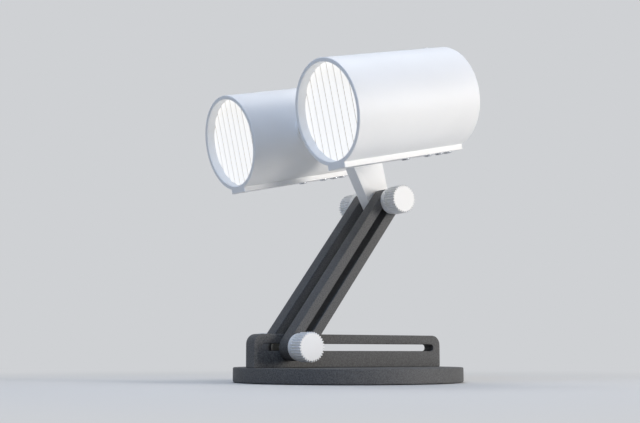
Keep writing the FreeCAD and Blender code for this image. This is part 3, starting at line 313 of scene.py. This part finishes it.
# Each slot of the record: the function that makes its finish, and what it is given.
FINISHES = {
    "sand_charcoal": (sand_powder_coat, {}),
    "satin_white": (satin_abs, {}),
    "reeded_diffuser": (diffuser_acrylic, {}),
    "zinc_steel": (zinc_steel, {}),
    "knob_white": (knob_nylon, {}),
    # closed-cell foam rubber: dead matt black with small pores
    "pad_foam": (plain_finish, dict(
        name="foam_rubber", dark="#161617", light="#29292A", roughness=(0.85, 0.95),
        size=1.4 * MM, depth=0.15 * MM)),
    # unfilled nylon: milky, slightly yellow and waxy
    "nylon_washer": (plain_finish, dict(
        name="natural_nylon", dark="#D5D0C2", light="#E2DED2", roughness=(0.4, 0.5), ior=1.53)),
    # turned brass: yellow metal with a dull oxide bloom
    "brass_insert": (plain_finish, dict(
        name="turned_brass", dark="#C29A4C", light="#DDB968", roughness=(0.22, 0.34), metallic=1.0)),
    # vacuum-formed white sheet behind the diffuser: bright and glossy
    "reflector_white": (plain_finish, dict(
        name="gloss_white_pet", dark="#EFEFEF", light="#F7F7F7", roughness=(0.12, 0.2), ior=1.57)),
    # aluminium-core board under white solder mask: smooth and slightly glossy
    "board_aluminium": (plain_finish, dict(
        name="white_solder_mask", dark="#E6E7E6", light="#F0F1F0", roughness=(0.3, 0.4), ior=1.5)),
    # silicone filled with phosphor: clear yellow and wet-looking
    "led_phosphor": (plain_finish, dict(
        name="yellow_phosphor_gel", dark="#E8CF55", light="#F2DF7E", roughness=(0.2, 0.3), ior=1.41)),
    # die-cast and blasted: even grey metal with no direction
    "sink_aluminium": (plain_finish, dict(
        name="bead_blasted_aluminium", dark="#B4B6B8", light="#CBCDCE", roughness=(0.45, 0.6), metallic=1.0)),
    # injection-moulded tray: even mid grey with a dull sheen
    "chassis_grey": (plain_finish, dict(
        name="moulded_grey_abs", dark="#55565A", light="#616266", roughness=(0.45, 0.55), ior=1.5)),
    # shrunk PVC sleeve: taut, smooth and shiny
    "cell_wrap": (plain_finish, dict(
        name="blue_shrink_sleeve", dark="#26507E", light="#33639A", roughness=(0.22, 0.32), ior=1.54)),
    # screen-printed solder mask on glass fibre: deep green with a low gloss
    "board_green": (plain_finish, dict(
        name="green_solder_mask", dark="#12492A", light="#1B5E38", roughness=(0.25, 0.35), ior=1.5)),
    # moulded body of the press switch: black with a dull sheen
    "switch_black": (plain_finish, dict(
        name="moulded_black_nylon", dark="#141414", light="#202020", roughness=(0.4, 0.5), ior=1.53)),
    # drawn steel shell of the socket under nickel: warm grey and bright
    "socket_steel": (plain_finish, dict(
        name="nickel_plated_steel", dark="#BEBDB8", light="#D3D2CE", roughness=(0.16, 0.28), metallic=1.0)),
}
made_finishes = {}


def finish(slot):
    """Material of a slot, made when it is first asked for."""
    if slot not in made_finishes:
        make, settings = FINISHES[slot]
        made_finishes[slot] = make(**settings)
    return made_finishes[slot]


# ---------------------------------------------------------------- mesh helpers

def object_from(mesh_data, name, slot, body, replaced):
    """Links a finished mesh, gives it its finish and lets it stand for its nodes."""
    mesh = bpy.data.meshes.new(name)
    bmesh.ops.remove_doubles(mesh_data, verts=mesh_data.verts, dist=WELD)
    bmesh.ops.recalc_face_normals(mesh_data, faces=mesh_data.faces)
    mesh_data.to_mesh(mesh)
    mesh_data.free()
    piece = bpy.data.objects.new(name, mesh)
    bpy.context.scene.collection.objects.link(piece)
    mesh.materials.append(finish(slot))
    for face in mesh.polygons:
        face.use_smooth = True
    mesh.set_sharp_from_angle(angle=CREASE)
    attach(piece, body)
    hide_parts(*replaced)


def turned(name, profile, base, direction, slot, body, replaced, segments, cut=None):
    """Lathe piece: profile points (radius, height) turned about a direction from a base point.

    cut gives how far the surface lies inside its radius, from the angle, the radius and the height.
    """
    mesh_data = bmesh.new()
    place = Matrix.Translation(base) @ direction.to_track_quat("Z", "Y").to_matrix().to_4x4()
    rings = []
    for radius, height in profile:
        if radius == 0:
            rings.append([mesh_data.verts.new(place @ Vector((0, 0, height)))])
            continue
        ring = []
        for step in range(segments):
            angle = 2 * math.pi * step / segments
            reach = radius - (cut(angle, radius, height) if cut else 0)
            point = Vector((reach * math.cos(angle), reach * math.sin(angle), height))
            ring.append(mesh_data.verts.new(place @ point))
        rings.append(ring)
    for low, high in zip(rings, rings[1:]):
        for step in range(segments):
            after = (step + 1) % segments
            corners = [
                low[step % len(low)], low[after % len(low)], high[after % len(high)], high[step % len(high)]]
            unique = list(dict.fromkeys(corners))
            if len(unique) > 2:
                mesh_data.faces.new(unique)
    object_from(mesh_data, name, slot, body, replaced)


def rounded(points, radius, steps=EDGE_STEPS):
    """Profile with its inner corners replaced by short curves of about one radius.

    A curve takes less than half of a side, so that two curves never meet.
    """
    most = 0.45
    result = [points[0]]
    for before, corner, after in zip(points, points[1:], points[2:]):
        corner, before, after = Vector(corner), Vector(before), Vector(after)
        reach = min(radius, (before - corner).length * most, (after - corner).length * most)
        start = corner + (before - corner).normalized() * reach
        end = corner + (after - corner).normalized() * reach
        for step in range(steps + 1):
            part = step / steps
            result.append(tuple(start.lerp(corner, part).lerp(corner.lerp(end, part), part)))
    result.append(points[-1])
    return result


def belt(circles, inset):
    """Closed outline round circles (x, z, signed radius), joined by their tangents.

    A positive radius bulges outwards and a negative one is a hollow. inset draws the outline in.
    """
    normals = []
    for index, first in enumerate(circles):
        second = circles[(index + 1) % len(circles)]
        gap = Vector((second[0] - first[0], second[1] - first[1]))
        share = max(-1.0, min(1.0, (first[2] - second[2]) / gap.length))
        normals.append(math.atan2(gap.y, gap.x) - math.acos(share))
    outline = []
    for index, (x, z, radius) in enumerate(circles):
        start, end = normals[index - 1], normals[index]
        turn = (end - start) % (2 * math.pi)
        if radius < 0:
            turn -= 2 * math.pi
        reach = radius - inset
        for step in range(ARC_STEPS + 1):
            angle = start + turn * step / ARC_STEPS
            outline.append((x + reach * math.cos(angle), z + reach * math.sin(angle)))
    return outline


def slab(name, outer, holes, half, edge, place, slot, body, replaced):
    """Flat plate across Y with rounded edges, from an outer belt and belts for its holes."""
    mesh_data = bmesh.new()
    layers = []
    for step in range(EDGE_STEPS + 1):
        angle = math.pi / 2 * step / EDGE_STEPS
        layers.append((edge * (1 - math.sin(angle)), half - edge * (1 - math.cos(angle))))
    under = [(inset, -depth) for inset, depth in layers]
    layers = under + layers[::-1]
    rims = []
    for circles, sign in [(outer, 1)] + [(hole, -1) for hole in holes]:
        rings = []
        for inset, depth in layers:
            points = belt(circles, sign * inset)
            rings.append([mesh_data.verts.new(place @ Vector((x, depth, z))) for x, z in points])
        for low, high in zip(rings, rings[1:]):
            for index in range(len(low)):
                after = (index + 1) % len(low)
                mesh_data.faces.new((low[index], low[after], high[after], high[index]))
        rims.append((rings[0], rings[-1]))
    for side in (0, 1):
        edges = []
        for rim in rims:
            ring = rim[side]
            for index in range(len(ring)):
                edges.append(mesh_data.edges.get((ring[index], ring[(index + 1) % len(ring)])))
        bmesh.ops.triangle_fill(mesh_data, edges=edges, use_beauty=True)
    object_from(mesh_data, name, slot, body, replaced)


def round_hole(x, radius):
    """Belt of a round hole on a plate's own axis: two circles that all but coincide."""
    apart = 0.01 * MM
    return [(x - apart, 0, radius), (x + apart, 0, radius)]


# ---------------------------------------------------------------- pieces

def furthest(name, direction):
    """How far a CAD node reaches along a direction."""
    return max(vertex.co.dot(direction) for vertex in frame["nodes"][name].data.vertices)


def dress_nodes(*nodes):
    """Gives CAD nodes that stay in view the finish of their own slot."""
    slots = {part["node"]: part["material_slot"] for part in frame["record"]["subparts"]}
    for name in nodes:
        node = frame["nodes"][name]
        node.data.materials.clear()
        node.data.materials.append(finish(slots[name]))


class LampBuildBase(bpy.types.Operator):
    """Weighted disc with its pad, and the slotted rail that stands on it"""
    bl_idname = "lamp.build_base"
    bl_label = "Base"

    def execute(self, context):
        sizes = context.scene.lamp_sizes
        low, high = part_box("base_disc")
        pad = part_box("base_pad")[1]
        pad_gap = 0.3 * MM
        recess = pad.x + pad_gap
        profile = rounded([
            (0, pad.z), (recess, pad.z), (recess, low.z), (high.x, low.z), (high.x, high.z), (0, high.z)],
            sizes.disc_round, steps=6)
        turned("base_disc_turned", profile, Vector((0, 0, 0)), UPWARD, "sand_charcoal", "base",
               ("base_disc",), segments=192)
        low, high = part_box("slotted_rail")
        corner, slot_end = 8.5 * MM, 11 * MM
        # wider than the soft edge, so that the corner stays round where the outline is drawn in
        foot = sizes.edge_round * 1.1
        outer = [
            (low.x + foot, low.z + foot, foot), (high.x - foot, low.z + foot, foot),
            (high.x - corner, high.z - corner, corner), (low.x + corner, high.z - corner, corner)]
        reach = high.x - slot_end
        slot = [(-reach, LOWER_PIVOT.z, SLOT_RADIUS), (reach, LOWER_PIVOT.z, SLOT_RADIUS)]
        slab("slotted_rail_coated", outer, [slot], high.y, sizes.edge_round, Matrix(), "sand_charcoal",
             "base", ("slotted_rail",))
        dress_nodes("base_pad", "rail_screws")
        return {"FINISHED"}


class LampBuildArms(bpy.types.Operator):
    """Pair of slotted links"""
    bl_idname = "lamp.build_arms"
    bl_label = "Arms"

    def execute(self, context):
        edge = context.scene.lamp_sizes.edge_round
        ends = [(pivot.x, pivot.z) for pivot in (LOWER_PIVOT, UPPER_PIVOT)]
        for side in SIDES:
            low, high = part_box(f"{side}_arm")
            radius = LOWER_PIVOT.z - low.z
            outer = [(x, z, radius) for x, z in ends]
            slot = [(x, z, SLOT_RADIUS) for x, z in ends]
            place = Matrix.Translation((0, (low.y + high.y) / 2, 0))
            slab(f"{side}_arm_coated", outer, [slot], (high.y - low.y) / 2, edge, place, "sand_charcoal",
                 "arms", (f"{side}_arm",))
        return {"FINISHED"}


def build_knob(level, side, pivot):
    """Round knob with a plain collar, a fluted grip and a blind bore for its insert."""
    sizes = bpy.context.scene.lamp_sizes
    bore, bore_depth = 4.65 * MM, 15.3 * MM
    collar_length, collar_step = 4.5 * MM, 0.7 * MM
    bevel, bevel_depth, softness = 0.5 * MM, 0.1 * MM, 0.35 * MM
    flute_start, flute_runout, flute_skin = 4.7 * MM, 0.6 * MM, 1.2 * MM
    segments_per_tooth = 8
    low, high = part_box(f"{level}_{side}_knob")
    grip = (high.z - low.z) / 2
    length = high.y - low.y
    collar = grip - collar_step
    profile = [(0, bore_depth), (bore, bore_depth)] + rounded([
        (bore, 0), (collar, 0), (collar, collar_length), (grip, collar_length + collar_step),
        (grip, length - bevel_depth), (grip - bevel, length), (0, length)], softness, steps=3)[:-1] + [
        (grip / 2, length), (0, length)]

    def flute(angle, radius, height):
        """Depth of the groove between two teeth, on the grip alone.

        A quarter of the pitch is the groove's floor, a quarter is the tooth's top, and the rest slopes.
        """
        if height < flute_start or radius < grip - flute_skin:
            return 0
        from_floor = abs(angle * sizes.knob_teeth / (2 * math.pi) % 1 - 0.5)
        groove = min(1.0, max(0.0, 1.5 - 4 * from_floor))
        fade = min(1.0, (height - flute_start) / flute_runout)
        return sizes.tooth_depth * groove * fade

    sign = SIDES[side]
    base = Vector((pivot.x, low.y if sign > 0 else high.y, pivot.z))
    turned(f"{level}_{side}_knob_fluted", profile, base, ACROSS * sign, "knob_white", f"{level}_{side}_grip",
           (f"{level}_{side}_knob",), segments_per_tooth * sizes.knob_teeth, flute)


class LampBuildClamps(bpy.types.Operator):
    """Studs, spacers and the four fluted knobs with their inserts"""
    bl_idname = "lamp.build_clamps"
    bl_label = "Clamps"

    def execute(self, context):
        for level, pivot in (("lower", LOWER_PIVOT), ("upper", UPPER_PIVOT)):
            for side in SIDES:
                build_knob(level, side, pivot)
                dress_nodes(f"{level}_{side}_insert")
            dress_nodes(f"{level}_stud", f"{level}_spacers")
        return {"FINISHED"}


class LampBuildBracket(bpy.types.Operator):
    """Flat moulded bracket with its hub, and the tilt axle's parts"""
    bl_idname = "lamp.build_bracket"
    bl_label = "Bracket"

    def execute(self, context):
        edge = context.scene.lamp_sizes.bracket_round
        rise = TILT_AXIS - UPPER_PIVOT
        rise.y = 0
        reach = rise.length
        along = rise.normalized()
        back = Vector((along.z, 0, -along.x))
        # radii of the outline's ends and curves and of the tube's hole, and how far up the shoulder lies
        foot, hub, shoulder, flare, tube = 11.5 * MM, 17 * MM, 12 * MM, 20 * MM, 12.55 * MM
        shoulder_reach = 74 * MM
        front_angle, back_angle = math.radians(8.2), math.radians(22.8)
        shoulder_out = (foot - shoulder + shoulder_reach * math.sin(back_angle)) / math.cos(back_angle)
        # the hollow's centre lies one flare radius off the front edge and touches the hub's circle
        start = Vector((0, -(foot + flare) / math.cos(front_angle)))
        course = Vector((math.cos(front_angle), math.sin(front_angle)))
        from_hub = start - Vector((reach, 0))
        middle = from_hub.dot(course)
        step = -middle - math.sqrt(middle ** 2 - from_hub.length_squared + (hub + flare) ** 2)
        hollow = start + course * step
        outer = [
            (0, 0, foot), (hollow.x, hollow.y, -flare), (reach, 0, hub),
            (shoulder_reach, shoulder_out, shoulder)]
        place = Matrix.Translation((UPPER_PIVOT.x, 0, UPPER_PIVOT.z)) @ Matrix((
            (along.x, 0, back.x, 0), (0, 1, 0, 0), (along.z, 0, back.z, 0), (0, 0, 0, 1)))
        holes = [round_hole(reach, tube), round_hole(0, SLOT_RADIUS)]
        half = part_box("bracket")[1].y
        slab("bracket_moulded", outer, holes, half, edge, place, "satin_white", "head_carrier", ("bracket",))
        dress_nodes("cross_tube", "tilt_axle", "axle_nuts", "friction_washers", "spring_washers")
        return {"FINISHED"}


def build_foot_screws(side):
    """Four domed screws with hexagon sockets, up through a head's foot."""
    corner = bpy.context.scene.lamp_sizes.screw_socket / math.sqrt(3)
    head, rise, rim, softness = 3.9 * MM, 1.4 * MM, 0.5 * MM, 0.6 * MM
    shoulder = (head * 0.78, rise * 0.92)
    land, lip, lip_depth = 0.5 * MM, 0.15 * MM, 0.12 * MM
    floor, dip = 0.35 * MM, 0.2 * MM
    shank, shank_length = 1.9 * MM, 5 * MM
    dome = rounded([(head, 0), (head, rim), shoulder, (corner + land, rise)], softness)
    profile = [(0, -shank_length), (shank, -shank_length), (shank, 0)] + dome + [
        (corner + lip, rise), (corner, rise - lip_depth), (corner, floor), (0, floor - dip)]

    def hexagon(angle, radius, height):
        """How far a flat of the socket lies inside its corners' circle."""
        if radius > corner or height < floor:
            return 0
        past = angle % (math.pi / 3) - math.pi / 6
        return corner * (1 - math.cos(math.pi / 6) / math.cos(past))

    housing = f"{side}_housing"
    rear_foot = (HEAD_BACK * furthest(housing, HEAD_BACK) + HEAD_DOWN * furthest(housing, HEAD_DOWN)
                 + ACROSS * SIDES[side] * HEAD_Y)
    for number, from_rear in enumerate(FOOT_SCREWS_FROM_REAR, 1):
        base = rear_foot - HEAD_BACK * from_rear
        turned(f"{side}_foot_screw_{number}", profile, base, HEAD_DOWN, "zinc_steel", f"{side}_head",
               (f"{side}_foot_screws",), 48, hexagon)


class LampBuildHeads(bpy.types.Operator):
    """Two tubular heads with their diffusers, buttons, foot screws and inner parts"""
    bl_idname = "lamp.build_heads"
    bl_label = "Heads"

    def execute(self, context):
        kept = ("housing", "lens", "reflector", "led_board", "leds", "heat_sink", "chassis", "cells",
                "control_board", "switch", "rear_cap", "charge_socket", "button")
        for side in SIDES:
            dress_nodes(*(f"{side}_{part}" for part in kept))
            build_foot_screws(side)
        return {"FINISHED"}


# ---------------------------------------------------------------- stage

def area_light(name, place, target, size, power, code):
    """Soft rectangular light that faces a target."""
    data = bpy.data.lights.new(name, "AREA")
    data.shape = "RECTANGLE"
    data.size, data.size_y = size
    data.energy = power
    data.color = linear(code)[:3]
    light = bpy.data.objects.new(name, data)
    light.location = place
    light.rotation_euler = (Vector(target) - Vector(place)).to_track_quat("-Z", "Y").to_euler()
    bpy.context.scene.collection.objects.link(light)


def seen_directly(tree):
    """1 for rays from the camera, a reflection or a clear piece, and 0 for the rays that light things."""
    paths = add_node(tree, "ShaderNodeLightPath")
    seen = add_node(tree, "ShaderNodeMath", {"operation": "MAXIMUM"},
                    {0: paths.outputs["Is Camera Ray"], 1: paths.outputs["Is Glossy Ray"]})
    return add_node(tree, "ShaderNodeMath", {"operation": "MAXIMUM"},
                    {0: seen.outputs["Value"], 1: paths.outputs["Is Transmission Ray"]}).outputs["Value"]


def floor_paper():
    """Matt seamless paper. It keeps the lamp's shadow near it and runs into the backdrop far away."""
    material, tree, shader, place = new_material("matt_seamless_paper")
    fade_start, fade_end = 0.1, 0.75
    shader.inputs["Base Color"].default_value = linear(PAPER)
    shader.inputs["Roughness"].default_value = 0.9
    glow = add_node(tree, "ShaderNodeEmission", {"Color": linear(BACKDROP)})
    distance = add_node(tree, "ShaderNodeVectorMath", {"operation": "LENGTH"}, {0: place}).outputs["Value"]
    far = spread(tree, distance, 0.0, 1.0, fade_start, fade_end)
    seen = add_node(tree, "ShaderNodeMath", {"operation": "MULTIPLY"}, {0: far, 1: seen_directly(tree)})
    mixed = add_node(tree, "ShaderNodeMixShader", links={
        0: seen.outputs["Value"], 1: shader.outputs["BSDF"], 2: glow.outputs["Emission"]})
    output = next(node for node in tree.nodes if node.type == "OUTPUT_MATERIAL")
    tree.links.new(mixed.outputs["Shader"], output.inputs["Surface"])
    return material


def studio_world():
    """Even pale blue dome that lights the lamp, with a plain backdrop that is seen in its place."""
    world = bpy.data.worlds.new("studio")
    world.use_nodes = True
    tree = world.node_tree
    tree.nodes.clear()
    dome = add_node(tree, "ShaderNodeBackground", {"Color": linear(DOME), "Strength": 0.16})
    shown = add_node(tree, "ShaderNodeBackground", {"Color": linear(BACKDROP), "Strength": 1.0})
    mixed = add_node(tree, "ShaderNodeMixShader", links={
        0: seen_directly(tree), 1: dome.outputs["Background"], 2: shown.outputs["Background"]})
    add_node(tree, "ShaderNodeOutputWorld", links={"Surface": mixed.outputs["Shader"]})
    return world


class LampBuildStage(bpy.types.Operator):
    """Pale floor, studio lights, world and the camera"""
    bl_idname = "lamp.build_stage"
    bl_label = "Stage"

    def execute(self, context):
        scene = context.scene
        mesh = bpy.data.meshes.new("floor")
        corners = [(x * FLOOR_REACH, y * FLOOR_REACH, 0) for x, y in ((-1, -1), (1, -1), (1, 1), (-1, 1))]
        mesh.from_pydata(corners, [], [(0, 1, 2, 3)])
        floor = bpy.data.objects.new("floor", mesh)
        scene.collection.objects.link(floor)
        mesh.materials.append(floor_paper())
        scene.world = studio_world()
        area_light(
            "key", place=(1.15, -1.75, 0.36), target=(0, 0, 0.12), size=(0.5, 0.9), power=31, code="#FFFAF4")
        area_light(
            "sky", place=(-0.9, -0.6, 1.35), target=(0, 0, 0.15), size=(0.9, 0.9), power=8, code="#AFCFFF")
        area_light(
            "top", place=(0.1, 0.2, 1.7), target=(0, 0, 0.1), size=(1.2, 1.2), power=13.5, code="#FAFAFA")
        camera = bpy.data.cameras.new("camera")
        camera.sensor_width = 36
        camera.lens = CAMERA_LENS
        camera.clip_start = 0.01
        holder = bpy.data.objects.new("camera", camera)
        holder.location = CAMERA_PLACE
        holder.rotation_euler = (math.radians(90 + CAMERA_RISE), 0, math.radians(CAMERA_HEADING))
        scene.collection.objects.link(holder)
        scene.camera = holder
        scene.view_settings.view_transform = "Standard"
        return {"FINISHED"}


class LampPanel(bpy.types.Panel):
    """Lists the lamp's builders and settings"""
    bl_idname = "VIEW3D_PT_lamp"
    bl_label = "Desk lamp"
    bl_space_type = "VIEW_3D"
    bl_region_type = "UI"
    bl_category = "Lamp"

    def draw(self, context):
        column = self.layout.column()
        for group in (context.scene.lamp_sizes, context.scene.lamp_colours):
            for name in group.bl_rna.properties.keys():
                if name not in ("name", "rna_type"):
                    column.prop(group, name)
        for builder in BUILDERS:
            column.operator(builder.bl_idname)


BUILDERS = (LampBuildBase, LampBuildArms, LampBuildClamps, LampBuildBracket, LampBuildHeads, LampBuildStage)
CLASSES = (LampSizes, LampColours) + BUILDERS + (LampPanel,)


def register():
    for cls in CLASSES:
        bpy.utils.register_class(cls)
    bpy.types.Scene.lamp_sizes = bpy.props.PointerProperty(type=LampSizes)
    bpy.types.Scene.lamp_colours = bpy.props.PointerProperty(type=LampColours)


def unregister():
    del bpy.types.Scene.lamp_colours
    del bpy.types.Scene.lamp_sizes
    for cls in reversed(CLASSES):
        bpy.utils.unregister_class(cls)


def main():
    register()
    bpy.ops.lamp.build_base()
    bpy.ops.lamp.build_arms()
    bpy.ops.lamp.build_clamps()
    bpy.ops.lamp.build_bracket()
    bpy.ops.lamp.build_heads()
    bpy.ops.lamp.build_stage()


if __name__ == "__main__":
    main()
